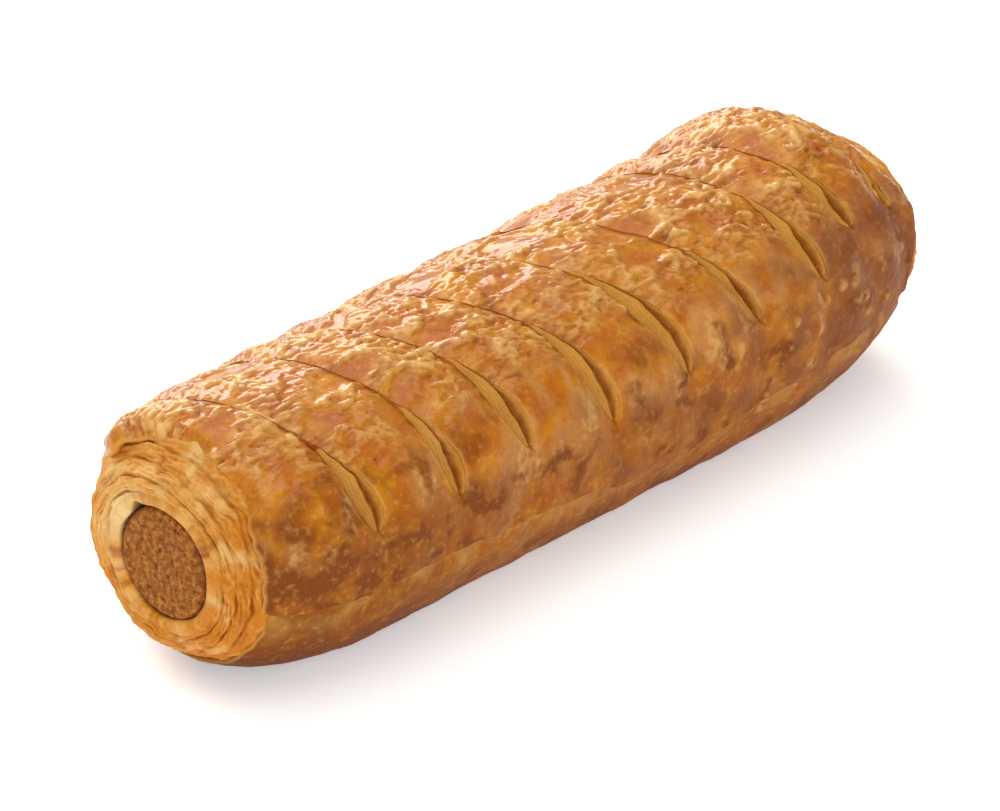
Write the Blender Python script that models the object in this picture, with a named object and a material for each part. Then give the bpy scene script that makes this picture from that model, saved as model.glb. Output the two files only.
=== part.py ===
"""A baked sausage roll: a puff pastry tube, slashed across its top, round a sausage meat filling.

The roll lies along X with its near end at -X. Y runs across it, its front flank is at -Y, and it stands on
z = 0 on the flat sole that the baking tray gave it. The origin is the middle of that sole. The two pieces
are the pastry and the filling, which runs through it from end to end.

A place on the skin is given by x and by an angle in degrees, measured round the roll from its crest:
positive towards the front flank, negative towards the back, 180 underneath. The pastry is a loft through
closed rings, one after another from the near end to the far end, each a function of that angle.
"""

import math
from dataclasses import dataclass

import bmesh
import bpy
from mathutils import Vector

# The roll
LENGTH = 0.150
HALF_WIDTH = 0.0230
HALF_HEIGHT = 0.0202  # of the oval section, before the tray flattens its underside
AXIS_HEIGHT = 0.0183
SQUARENESS = 0.92  # power of the sine and cosine of the oval: under 1 is a little squarer than an ellipse
SWELL = 0.025  # how much thicker the far end is than the near end, as a share
CLEARANCE = 0.0003  # between the pastry and its filling

# The sole: the underside spread under the roll's own weight, flat in the middle and lifting towards the ends
SOLE_SPREAD = 0.0012  # how far the underside stands proud of the oval
SOLE_TURNS = (118, 150)  # angles over which it comes to that
SOLE_FLAT = 0.020  # half the length of its flat part
SOLE_RISE = 0.0015  # how far its ends lie off the tray

# The filling
MEAT_RADIUS = 0.0085
MEAT_OVAL = 0.03  # its outline is this much higher than wide, as a share
MEAT_LOBES = 0.022
MEAT_CENTRE_Y = -0.0010
MEAT_CENTRE_Z = 0.0194
MEAT_RECESS = 0.0006  # its end lies this far inside the end of the pastry
MEAT_EDGE = 0.0007
MEAT_POINTS = 36

# The layers of rolled dough that show inside the edge of the crust
LAYERS = 4
LAYER_BULGE = 0.00075
LAYER_CROWN = (0.25, 0.75)  # where a layer stands proudest, as shares of its own width
LAYER_DROOP = 0.05  # how far the layers lie off centre, as a share of the way up the rounding
LAYER_DROOP_ANGLE = 60  # where they start to droop
CRUST_STEP = 0.0011  # the crust stands this far proud of the layers
CRUST_ROLL = 0.035  # how fast the edge of the crust turns in, as a share of the way up the rounding
CRUST_LIP = 0.004  # where the edge itself lies, past the layers, as the same kind of share
CRUST_LIP_SINK = 0.2  # how far the edge lies under the crust, as a share of CRUST_STEP

# The flap: the crust lifts off the layers at the back of the near end
FLAP_ANGLE = -46
FLAP_SPREAD = 17
FLAP_LIFT = 0.0013
FLAP_REACH = 0.07  # how far it hangs over the layers, as a share of the way up the rounding
FLAP_RUN = 0.25  # how far back along the rounding it lifts the crust, as the same kind of share

# The seam, where the edge of the outer sheet laps the sheet under it
SEAM_ANGLE = 102
SEAM_STEP = 0.0009
SEAM_TURN = 1.4  # degrees over which the lapping edge drops
SEAM_FADE = 45  # degrees over which the sheet under it comes back out to the oval
SEAM_DIP_X = 0.010  # near here the seam swings lower and all but closes
SEAM_DIP_ANGLE = 13
SEAM_DIP_SPREAD = 0.022
SEAM_DIP_CLOSING = 0.7  # how much of its step is gone there
SEAM_CLEAR = 2.1  # degrees on each side of the seam that are left free of a ring's other points
SEAM_PULL = 30  # degrees round the seam over which a ring's points follow it
SEAM_PULL_FROM = 60  # the first angle that may follow it

# Steam gap between the filling and the dough at the near end
GAP_ANGLE = -32
GAP_SIZE = (0.0060, 0.0027, 0.0017)

# The skin between the slashes
PILLOW = 0.0008
PILLOW_TURNS = (120, 80)  # angles over which a panel comes to its full swell
PANEL_RINGS = 2
BANDS = ((-180, -90, 10), (-90, -18, 6), (-18, 18, 9), (18, 90, 6), (90, 180, 10))

# The slashes
CUT_DEPTH = 0.0022
CUT_FLOOR = 0.55  # width of a slash at its floor, as a share of its width at the skin
CREASE_HALF_WIDTH = 0.00022
CREASE_DEPTH = 0.00050
CREASE_OVERRUN = 9  # degrees that the crease runs on past the opening
CLOSED_HALF_WIDTH = 0.0009  # half the distance between the rings of a slash where it is shut
LEAF_SKEW = 1.2  # over 1 sets the widest place of a slash towards its lower tip
LEAF_FULLNESS = 0.75  # under 1 makes its outline fuller than a half wave
LEAN_TURNS = (150, 90)  # a slash runs straight across under the first angle and leans in full above the second
LAP_LIFT = 0.00045  # at the crest each panel laps the next one by this much
LAP_TURNS = (75, 20)  # angles over which the lap comes to that

# The moulds that hollow the pastry
CUTTER_RISE = 0.0015

SHARP_ANGLE = 35  # degrees: edges that turn more than this are drawn sharp


@dataclass(frozen=True)
class RoundedEnd:
    """One end of the roll: which way it faces, how far the rounding reaches along the roll, the radius of the
    ring of dough round the filling, and where the edge of the crust lies as a share of the way up.
    """

    side: int
    reach: float
    face_radius: float
    crust_edge: float
    flap: float


@dataclass(frozen=True)
class Hump:
    """A place where the roll stands fuller than its smooth form: round x and angle, this far and this high."""

    x: float
    angle: float
    reach: float
    turn: float
    height: float


@dataclass(frozen=True)
class Slash:
    """One slash. It crosses the crest at x and leans by lean towards +X at the front flank and -X at the back.
    front and back are the angles between which it gapes, and gape and back_gape say how wide.
    """

    x: float
    lean: float
    front: tuple
    gape: float
    back: tuple
    back_gape: float


NEAR_END = RoundedEnd(side=-1, reach=0.0330, face_radius=0.0105, crust_edge=0.355, flap=1.0)
FAR_END = RoundedEnd(side=1, reach=0.0400, face_radius=0.0105, crust_edge=0.405, flap=0.0)

HUMPS = (
    Hump(x=-0.064, angle=-20, reach=0.009, turn=45, height=0.0030),
    Hump(x=0.056, angle=-10, reach=0.011, turn=45, height=0.0036),
)

SLASHES = (
    Slash(-0.0592, 0.0072, (40, 79), 0.0038, (-30, -70), 0.0030),
    Slash(-0.0424, 0.0066, (42, 81), 0.0033, (-26, -72), 0.0034),
    Slash(-0.0296, 0.0090, (24, 76), 0.0031, (-34, -76), 0.0028),
    Slash(-0.0150, 0.0116, (30, 80), 0.0044, (-28, -68), 0.0036),
    Slash(0.0008, 0.0126, (16, 75), 0.0043, (-24, -74), 0.0032),
    Slash(0.0170, 0.0126, (34, 72), 0.0024, (-31, -73), 0.0038),
    Slash(0.0376, 0.0068, (24, 69), 0.0033, (-30, -66), 0.0027),
    Slash(0.0476, 0.0076, (20, 55), 0.0031, (-36, -74), 0.0033),
    Slash(0.0612, 0.0044, (30, 56), 0.0014, (-28, -62), 0.0024),
)


def smooth_step(low, high, value):
    """0 at low, 1 at high and a smooth change between them."""
    share = min(max((value - low) / (high - low), 0.0), 1.0)
    return share * share * (3 - 2 * share)


def bell(value, middle, spread):
    """1 at the middle, falling away smoothly on both sides."""
    off = (value - middle) / spread
    return math.exp(-off * off)


def signed_power(value, power):
    """value raised to power, with its sign kept."""
    return math.copysign(abs(value) ** power, value)


def way_up(x):
    """The end that x is nearer to, and how far up its rounding x lies: 0 at the face, 1 where it stops."""
    end = NEAR_END if x < 0 else FAR_END
    along = (LENGTH / 2 - abs(x)) / end.reach
    if along >= 1:
        return end, 1.0
    return end, math.acos(1 - max(along, 0.0)) * 2 / math.pi


def hump_lift(x, angle):
    """How far the humps lift the skin at this place."""
    return sum(h.height * bell(x, h.x, h.reach) * bell(angle, h.angle, h.turn) for h in HUMPS)


def sole_height(x):
    """How far the sole lies off the tray at x."""
    past = max(0.0, (abs(x) - SOLE_FLAT) / (LENGTH / 2 - SOLE_FLAT))
    return SOLE_RISE * past * past


def section_point(end, x, grown, angle, lift, facing):
    """A point of the section at x. grown is 0 for the circle round the filling and 1 for the full oval, and
    facing is how squarely the skin there faces along the roll, from 0 to 1.
    """
    lift += (hump_lift(x, angle) + SOLE_SPREAD * smooth_step(*SOLE_TURNS, abs(angle))) * grown
    turn = math.radians(angle)
    swollen = 1 + SWELL * x / LENGTH
    half_width = end.face_radius + (HALF_WIDTH * swollen - end.face_radius) * grown
    half_height = end.face_radius + (HALF_HEIGHT * swollen - end.face_radius) * grown
    along = (HALF_WIDTH * swollen - end.face_radius) * facing
    outward = end.reach * grown
    size = math.hypot(along, outward)
    out = lift * outward / size
    side = signed_power(math.sin(turn), SQUARENESS)
    up = signed_power(math.cos(turn), SQUARENESS)
    y = MEAT_CENTRE_Y * (1 - grown) - (half_width + out) * side
    z = MEAT_CENTRE_Z + (AXIS_HEIGHT - MEAT_CENTRE_Z) * grown + (half_height + out) * up
    return Vector((x + end.side * lift * along / size, y, max(z, sole_height(x))))


def dome_point(end, rise, angle, lift=0.0):
    """A point on a rounded end, lift proud of it.

    The section goes from a circle round the filling, at rise 0, to the full oval at rise 1 along a quarter of
    an ellipse, and lift is measured square to that ellipse. Nothing goes below the sole.
    """
    quarter = rise * math.pi / 2
    x = end.side * (LENGTH / 2 - end.reach * (1 - math.cos(quarter)))
    return section_point(end, x, math.sin(quarter), angle, lift, math.cos(quarter))


def skin_point(x, angle, lift=0.0):
    """A point on the skin at x, lift proud of it."""
    end, rise = way_up(x)
    return dome_point(end, rise, angle, lift) if rise < 1 else section_point(end, x, 1.0, angle, lift, 0.0)


def seam_angle(x):
    """Where the seam runs at x: along the foot of the front flank, swinging lower at one place."""
    return SEAM_ANGLE + SEAM_DIP_ANGLE * bell(x, SEAM_DIP_X, SEAM_DIP_SPREAD)


def seam_lift(x, angle):
    """How far the sheet under the lapping edge lies inside the oval, at this place."""
    past = angle - seam_angle(x)
    if past <= 0:
        return 0.0
    strength = 1 - SEAM_DIP_CLOSING * bell(x, SEAM_DIP_X, SEAM_DIP_SPREAD / 2)
    return -SEAM_STEP * strength * min(1.0, past / SEAM_TURN) * (1 - smooth_step(0, SEAM_FADE, past))


def ring_angles(x):
    """The angles of a ring's points: closer together on the flanks, and drawn along with the seam at x."""
    angles = []
    for start, stop, step in BANDS:
        angles += [start + step * i for i in range(round((stop - start) / step))]
    angles = [a for a in angles if abs(a - SEAM_ANGLE) > SEAM_CLEAR]
    angles = sorted(angles + [SEAM_ANGLE, SEAM_ANGLE + SEAM_TURN])
    swing = seam_angle(x) - SEAM_ANGLE
    return [a + swing * bell(a, SEAM_ANGLE, SEAM_PULL) if a > SEAM_PULL_FROM else a for a in angles]


def flap(end, angle):
    """How strongly the crust lifts here, from 0 to 1."""
    return end.flap * bell(angle, FLAP_ANGLE, FLAP_SPREAD)


def layer_ring(end, share, lift):
    """A ring on the dough layers: share is 0 at the face and 1 at the edge of the crust."""
    ring = []
    for angle in ring_angles(end.side * LENGTH / 2):
        droop = LAYER_DROOP * math.sin(math.pi * share) * math.sin(math.radians(angle - LAYER_DROOP_ANGLE))
        reach = end.crust_edge - FLAP_REACH * flap(end, angle)
        rise = share * reach + droop
        sunk = LAYER_BULGE + (CRUST_STEP - LAYER_BULGE) * share
        ring.append(dome_point(end, max(rise, 0.0), angle, lift - sunk))
    return ring


def crust_ring(end, over, lift):
    """A ring on the crust near its edge: over is how far past the edge it lies, as a share of the way up."""
    ring = []
    for angle in ring_angles(end.side * LENGTH / 2):
        raised = flap(end, angle)
        rise = end.crust_edge - FLAP_REACH * raised + over
        x = dome_point(end, rise, angle).x
        near_edge = max(0.0, 1 - over / FLAP_RUN)
        proud = lift + seam_lift(x, angle) + FLAP_LIFT * raised * near_edge
        ring.append(dome_point(end, rise, angle, proud))
    return ring


def end_rings(end):
    """The rings of a rounded end, from its face to just past the edge of the crust."""
    rings = [layer_ring(end, 0.0, 0.0)]
    for i in range(LAYERS):
        for crown in LAYER_CROWN:
            rings.append(layer_ring(end, (i + crown) / LAYERS, LAYER_BULGE))
        rings.append(layer_ring(end, (i + 1) / LAYERS, 0.0))
    rings.append(crust_ring(end, CRUST_LIP, -CRUST_LIP_SINK * CRUST_STEP))
    rings.append(crust_ring(end, CRUST_ROLL, 0.0))
    return rings


def opening(limits, angle):
    """How far a slash gapes at this angle, as a share of its greatest gape: a leaf shape."""
    share = (abs(angle) - abs(limits[0])) / (abs(limits[1]) - abs(limits[0]))
    if not 0 < share < 1:
        return 0.0
    return math.sin(math.pi * share**LEAF_SKEW) ** LEAF_FULLNESS


def slash_rings(slash):
    """The rings of a slash: its two lips and, between them, the two edges of its floor."""
    rings = [[], [], [], []]
    for angle in ring_angles(slash.x):
        front = opening(slash.front, angle) if angle > 0 else 0.0
        back = opening(slash.back, angle) if angle < 0 else 0.0
        limits = slash.front if angle > 0 else slash.back
        shut = smooth_step(0, CREASE_OVERRUN, abs(angle) - abs(limits[1]))
        half = CREASE_HALF_WIDTH + (front * slash.gape + back * slash.back_gape) / 2
        half += (CLOSED_HALF_WIDTH - half) * shut
        depth = (CREASE_DEPTH + CUT_DEPTH * (front + back)) * (1 - shut)
        crest = smooth_step(*LAP_TURNS, abs(angle))
        middle = slash.x + slash.lean * math.sin(math.radians(angle)) * smooth_step(*LEAN_TURNS, abs(angle))
        lifts = (LAP_LIFT * crest, -depth, -depth, 0.0)
        for ring, across, lift in zip(rings, (-half, -half * CUT_FLOOR, half * CUT_FLOOR, half), lifts):
            x = middle + across
            ring.append(skin_point(x, angle, lift + seam_lift(x, angle)))
    return rings


def panel_rings(left, right, left_x, right_x):
    """Rings spread between two others, lifted so that the panel of skin between them swells like a pillow."""
    rings = []
    for i in range(1, PANEL_RINGS + 1):
        share = i / (PANEL_RINGS + 1)
        angles = ring_angles(left_x + (right_x - left_x) * share)
        ring = []
        for start, stop, angle in zip(left, right, angles):
            x = start.x + (stop.x - start.x) * share
            swell = PILLOW * smooth_step(*PILLOW_TURNS, abs(angle)) * math.sin(math.pi * share)
            ring.append(skin_point(x, angle, swell + seam_lift(x, angle)))
        rings.append(ring)
    return rings


def pastry_rings():
    """All the rings of the pastry, from the face of the near end to the face of the far end."""
    near = end_rings(NEAR_END)
    far = end_rings(FAR_END)[::-1]
    rings = near
    left_x = near[-1][0].x
    for slash in SLASHES:
        slashed = slash_rings(slash)
        rings += panel_rings(rings[-1], slashed[0], left_x, slash.x) + slashed
        left_x = slash.x
    return rings + panel_rings(rings[-1], far[0], left_x, far[0][0].x) + far


def loft(name, rings):
    """A closed body through the rings, in their order, with its two ends filled."""
    mesh = bpy.data.meshes.new(name)
    body = bmesh.new()
    rows = [[body.verts.new(point) for point in ring] for ring in rings]
    for row, after in zip(rows, rows[1:]):
        for i in range(len(row)):
            j = (i + 1) % len(row)
            body.faces.new((row[i], row[j], after[j], after[i]))
    body.faces.new(rows[0])
    body.faces.new(rows[-1])
    bmesh.ops.recalc_face_normals(body, faces=body.faces)
    body.to_mesh(mesh)
    body.free()
    mesh.shade_smooth()
    mesh.set_sharp_from_angle(angle=math.radians(SHARP_ANGLE))
    return bpy.data.objects.new(name, mesh)


def meat_outline(grow):
    """The filling's outline, grown by grow, as (y, z) pairs: a slightly lobed oval."""
    outline = []
    for i in range(MEAT_POINTS):
        turn = 2 * math.pi * i / MEAT_POINTS
        radius = MEAT_RADIUS * (1 + MEAT_LOBES * math.cos(3 * turn + 0.7)) + grow
        y = MEAT_CENTRE_Y + radius * math.cos(turn)
        z = MEAT_CENTRE_Z + radius * (1 + MEAT_OVAL) * math.sin(turn)
        outline.append((y, z))
    return outline


def rod(name, stations):
    """A rod through the filling's outline at each station, which is an x and how much the outline is grown."""
    return loft(name, [[Vector((x, y, z)) for y, z in meat_outline(grow)] for x, grow in stations])


def filling():
    """The sausage meat: a long rod with eased edges at both ends."""
    end = LENGTH / 2 - MEAT_RECESS
    straight = end - MEAT_EDGE
    return rod("filling", ((-end, -MEAT_EDGE), (-straight, 0.0), (straight, 0.0), (end, -MEAT_EDGE)))


def bore_cutter():
    """The room that the filling takes in the pastry, with its clearance."""
    end = LENGTH / 2 + CUTTER_RISE
    return rod("cutter_bore", ((-end, CLEARANCE), (end, CLEARANCE)))


def gap_cutter():
    """The steam gap: a flat egg over the filling at the near end."""
    body = bmesh.new()
    bmesh.ops.create_uvsphere(body, u_segments=12, v_segments=8, radius=1.0)
    mesh = bpy.data.meshes.new("cutter_gap")
    body.to_mesh(mesh)
    body.free()
    gap = bpy.data.objects.new("cutter_gap", mesh)
    turn = math.radians(GAP_ANGLE)
    radius = MEAT_RADIUS + GAP_SIZE[2] / 2
    y = MEAT_CENTRE_Y - radius * math.sin(turn)
    z = MEAT_CENTRE_Z + radius * math.cos(turn)
    gap.location = (-LENGTH / 2, y, z)
    gap.rotation_euler = (turn, 0, 0)
    gap.scale = GAP_SIZE
    return gap


def dress(obj, name, colour, roughness):
    """Gives the object a plain Principled material."""
    material = bpy.data.materials.new(name)
    material.use_nodes = True
    shader = material.node_tree.nodes["Principled BSDF"]
    shader.inputs["Base Color"].default_value = (*colour, 1.0)
    shader.inputs["Roughness"].default_value = roughness
    shader.inputs["Metallic"].default_value = 0.0
    obj.data.materials.append(material)


def cut(target, cutters, helpers):
    """Subtracts the cutters from the target, and puts them out of sight."""
    for cutter in cutters:
        helpers.objects.link(cutter)
        cutter.hide_render = True
        cutter.display_type = "WIRE"
        boolean = target.modifiers.new(cutter.name, "BOOLEAN")
        boolean.operation = "DIFFERENCE"
        boolean.solver = "EXACT"
        boolean.object = cutter


def new_collection(name):
    """A collection linked to the scene."""
    collection = bpy.data.collections.new(name)
    bpy.context.scene.collection.children.link(collection)
    return collection


def main():
    """Clears the scene and builds the sausage roll."""
    for obj in list(bpy.data.objects):
        bpy.data.objects.remove(obj)
    parts = new_collection("sausage_roll")
    helpers = new_collection("cutters")

    pastry = loft("pastry", pastry_rings())
    parts.objects.link(pastry)
    dress(pastry, "baked_pastry", (0.46, 0.19, 0.05), 0.35)
    cut(pastry, [bore_cutter(), gap_cutter()], helpers)

    meat = filling()
    parts.objects.link(meat)
    dress(meat, "sausage_meat", (0.32, 0.14, 0.05), 0.65)


main()
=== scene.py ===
"""Looks of a baked sausage roll: glazed puff pastry with diagonal slashes, round a sausage meat filling.

The roll lies along X. A place on its skin is given by x in millimetres and by an angle in degrees round the
roll from its crest: positive towards the front flank at -Y, negative towards the back, 180 underneath.
Shapes are worked out in millimetres on grids and turned into metres when a mesh is made.
"""

import logging
import math
from dataclasses import dataclass, field
from enum import Enum

import bpy
import numpy as np
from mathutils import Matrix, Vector


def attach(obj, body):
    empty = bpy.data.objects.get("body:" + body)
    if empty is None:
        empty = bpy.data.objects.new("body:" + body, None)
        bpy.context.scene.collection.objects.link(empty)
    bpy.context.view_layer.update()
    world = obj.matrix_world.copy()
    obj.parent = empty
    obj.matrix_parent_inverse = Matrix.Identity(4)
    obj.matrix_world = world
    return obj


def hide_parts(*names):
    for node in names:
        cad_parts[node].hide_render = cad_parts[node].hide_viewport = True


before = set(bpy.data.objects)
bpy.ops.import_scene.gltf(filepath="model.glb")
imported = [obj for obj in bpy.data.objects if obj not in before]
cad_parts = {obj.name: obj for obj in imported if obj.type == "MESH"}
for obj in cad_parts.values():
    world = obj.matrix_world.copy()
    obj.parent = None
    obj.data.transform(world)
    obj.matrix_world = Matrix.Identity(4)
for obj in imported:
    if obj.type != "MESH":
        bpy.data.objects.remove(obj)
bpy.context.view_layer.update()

LOG = logging.getLogger("sausage_roll")
MM = 0.001
Array = np.ndarray
Colour = tuple[float, float, float, float]
Size = float | tuple[float, float, float]
Feed = bpy.types.NodeSocket | Colour | float


# ---------------- small maths


def smooth(low: float, high: float, value: Array | float) -> Array:
    """A smooth change from 0 at low to 1 at high; low may be the larger.

    Args:
        low: where it starts.
        high: where it ends.
        value: what is measured.

    Returns:
        3t^2 - 2t^3 of the clipped share t of the way from low to high.
    """
    share = np.clip((np.asarray(value, dtype=float) - low) / (high - low), 0.0, 1.0)
    return share * share * (3.0 - 2.0 * share)


def bell(value: Array | float, middle: float, spread: float) -> Array:
    """exp(-t^2) of the distance t from the middle, counted in spreads."""
    return np.exp(-(((np.asarray(value, dtype=float) - middle) / spread) ** 2))


def signed_power(value: Array, power: float) -> Array:
    """The value raised to a power, with its sign kept."""
    return np.sign(value) * np.abs(value) ** power


def mix(first: Array | float, second: Array | float, share: Array | float) -> Array:
    """first where share is 0, second where it is 1, and in proportion between."""
    return first + (second - first) * share


class Grain:
    """Seeded noise in space, for everything irregular about the dough."""

    def __init__(self, seed: int) -> None:
        """Draws the tables.

        Args:
            seed: which grain this is.
        """
        rng = np.random.default_rng(seed)
        self.table = np.tile(rng.permutation(256), 3)
        slopes = rng.normal(size=(256, 3))
        self.slopes = slopes / np.linalg.norm(slopes, axis=1, keepdims=True)
        self.jitter = rng.random((256, 3))

    def _pick(self, cell: Array) -> Array:
        """Looks each cell up in the table, one axis after another.

        Args:
            cell: whole numbers of lattice cells.

        Returns:
            A whole number from 0 to 255 for each.
        """
        wrapped = cell & 255
        first = self.table[wrapped[..., 0]]
        second = self.table[first + wrapped[..., 1]]
        return self.table[second + wrapped[..., 2]]

    def smooth_noise(self, points: Array) -> Array:
        """Gradient noise: slopes at the lattice's corners, blended with 6t^5 - 15t^4 + 10t^3.

        Args:
            points: places, in cells.

        Returns:
            Values of about -0.7 to 0.7.
        """
        base = np.floor(points).astype(np.int64)
        part = points - base
        ease = part**3 * (part * (part * 6.0 - 15.0) + 10.0)
        total = np.zeros(points.shape[:-1])
        for corner in range(8):
            step = np.array([corner & 1, corner >> 1 & 1, corner >> 2 & 1])
            slope = self.slopes[self._pick(base + step)]
            reach = np.einsum("...i,...i->...", slope, part - step)
            weight = np.prod(np.where(step == 1, ease, 1.0 - ease), axis=-1)
            total += reach * weight
        return total

    def clouds(self, points: Array, size: Size, octaves: int = 3, gain: float = 0.5) -> Array:
        """Noise at falling sizes: each octave is half as large as the one before, and gain times as strong.

        Args:
            points: places in millimetres.
            size: the largest lump, in millimetres, one number or one for each axis.
            octaves: how many sizes.
            gain: strength of each next size.

        Returns:
            Values of about -1 to 1.
        """
        scaled = points / np.asarray(size)
        total = np.zeros(points.shape[:-1])
        strength = 1.4
        for octave in range(octaves):
            total += strength * self.smooth_noise(scaled * 2.0**octave + 17.3 * octave)
            strength *= gain
        return total

    def folds(self, points: Array, size: Size, octaves: int = 3, sharp: float = 1.6) -> Array:
        """Creased noise: 1 - |noise| raised to a power, so that it stands in ridges, each octave strongest on
        the ridges of the one before.

        Args:
            points: places in millimetres.
            size: the distance between ridges, in millimetres.
            octaves: how many sizes.
            sharp: how narrow the ridges are.

        Returns:
            Values from 0 to 1.
        """
        scaled = points / np.asarray(size)
        total = np.zeros(points.shape[:-1])
        weight = np.ones(points.shape[:-1])
        strength, whole = 1.0, 0.0
        for octave in range(octaves):
            noise = 1.9 * self.smooth_noise(scaled * 2.0**octave + 9.1 * octave)
            ridge = (1.0 - np.abs(np.clip(noise, -1, 1))) ** sharp
            total += strength * ridge * weight
            whole += strength
            weight = np.clip(ridge * 1.3, 0.0, 1.0)
            strength *= 0.5
        return total / whole

    def cells(self, points: Array, size: Size) -> tuple[Array, Array, Array, Array]:
        """Distances to the nearest two of a scatter of points, one in each cell of the lattice.

        Args:
            points: places in millimetres.
            size: the distance between scattered points, in millimetres.

        Returns:
            The nearest distance and the second nearest, both in cells, a random share for the nearest point,
            and the way to it, in cells.
        """
        scaled = points / np.asarray(size)
        base = np.floor(scaled).astype(np.int64)
        nearest = np.full(points.shape[:-1], 9.0)
        second = np.full(points.shape[:-1], 9.0)
        label = np.zeros(points.shape[:-1])
        way = np.zeros(points.shape)
        for index in range(27):
            step = np.array([index % 3 - 1, index // 3 % 3 - 1, index // 9 - 1])
            pick = self._pick(base + step)
            apart = base + step + self.jitter[pick] - scaled
            gap = np.linalg.norm(apart, axis=-1)
            closer = gap < nearest
            second = np.where(closer, nearest, np.minimum(second, gap))
            nearest = np.where(closer, gap, nearest)
            label = np.where(closer, pick / 255.0, label)
            way = np.where(closer[..., None], apart, way)
        return nearest, second, label, way

    def flakes(self, points: Array, size: Size) -> Array:
        """Flakes of film: each cell is a small plate with a tilt and a level of its own, and where two cells
        meet their edges curl up.

        Args:
            points: places in millimetres.
            size: the size of a flake, in millimetres.

        Returns:
            Values of about -0.7 to 0.7.
        """
        near, second, label, way = self.cells(points, size)
        turn = 40.0 * label
        tilt = way[..., 0] * np.cos(turn) + 0.7 * (way[..., 1] + way[..., 2]) * np.sin(turn)
        inner = smooth(0.0, 0.26, second - near)
        return inner * (1.1 * tilt + 0.5 * (label - 0.5)) + 0.30 * (1.0 - inner)


# ---------------- the form of the roll


class End(Enum):
    """Which end of the roll, by the direction it faces along X."""

    NEAR = -1
    FAR = 1


@dataclass(frozen=True)
class RollForm:
    """The smooth form that every piece is laid on, in millimetres: an oval tube whose rounded ends have a
    flat face of radius face. A hump is its x and angle, how far it spreads in each, and its height."""

    length: float = 150.0
    half_width: float = 23.0
    half_height: float = 20.2
    axis_height: float = 18.3
    squareness: float = 0.92
    swell: float = 0.025
    meat_y: float = -1.0
    meat_z: float = 19.4
    near_reach: float = 32.5
    far_reach: float = 37.5
    face: float = 10.5
    sole_spread: float = 1.2
    sole_flat: float = 20.0
    sole_rise: float = 1.5
    humps: tuple[tuple[float, ...], ...] = (
        (-64.0, -20.0, 9.0, 45.0, 3.0),
        (57.0, -10.0, 9.5, 45.0, 4.1),
        (72.5, -20.0, 5.0, 60.0, -1.4),
        (-68.0, -76.0, 7.0, 24.0, 0.8),
        (-69.0, -50.0, 5.0, 18.0, 0.9),
        (65.0, 112.0, 13.0, 34.0, -1.0),
        (-30.0, 124.0, 20.0, 24.0, -0.5),
    )

    def sole(self, x: Array) -> Array:
        """How far the underside lies off the tray: nothing in the middle, and a square towards the ends."""
        past = np.clip((np.abs(x) - self.sole_flat) / (self.length / 2 - self.sole_flat), 0.0, 1.0)
        return self.sole_rise * past * past

    def reach(self, side: Array | float) -> Array:
        """How far the rounding reaches along the roll, at the end that faces this way."""
        return np.where(np.asarray(side) < 0, self.near_reach, self.far_reach)

    def place(self, x: Array, angle: Array, lift: Array | float = 0.0) -> Array:
        """Points on the skin: the section grows from the face's circle to the full oval along a quarter of an
        ellipse, and lift is measured square to that ellipse.

        Args:
            x: along the roll, in millimetres.
            angle: round the roll, in degrees.
            lift: how far proud of the smooth form.

        Returns:
            Points in millimetres, never below the sole.
        """
        side = np.where(x < 0, -1.0, 1.0)
        along = np.clip((self.length / 2 - np.abs(x)) / self.reach(side), 0.0, 1.0)
        return self.dome(side, np.arccos(1.0 - along) * 2 / math.pi, angle, lift, x)

    def dome(
        self, side: Array | float, rise: Array, angle: Array, lift: Array | float, at: Array | None = None
    ) -> Array:
        """Points on a rounded end.

        Args:
            side: -1 for the near end and 1 for the far end.
            rise: 0 at the face and 1 where the rounding stops.
            angle: round the roll, in degrees.
            lift: how far proud of the smooth form.
            at: x, where it is already known.

        Returns:
            Points in millimetres.
        """
        quarter = rise * math.pi / 2
        reach, face = self.reach(side), self.face
        x = side * (self.length / 2 - reach * (1.0 - np.cos(quarter))) if at is None else at
        grown = np.sin(quarter)
        for middle, turned, spread, fan, height in self.humps:
            lift = lift + grown * height * bell(x, middle, spread) * bell(angle, turned, fan)
        lift = lift + grown * self.sole_spread * smooth(124, 152, np.abs(angle))
        swollen = 1.0 + self.swell * x / self.length
        half_width = face + (self.half_width * swollen - face) * grown
        half_height = face + (self.half_height * swollen - face) * grown
        facing = (self.half_width * swollen - face) * np.cos(quarter)
        outward = reach * grown
        size = np.hypot(facing, outward)
        out = lift * outward / size
        turn = np.radians(angle)
        y = self.meat_y * (1.0 - grown) - (half_width + out) * signed_power(np.sin(turn), self.squareness)
        up = (half_height + out) * signed_power(np.cos(turn), self.squareness)
        z = mix(self.meat_z, self.axis_height, grown) + up
        return np.stack([x + side * lift * facing / size, y, np.maximum(z, self.sole(x))], axis=-1)


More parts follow.
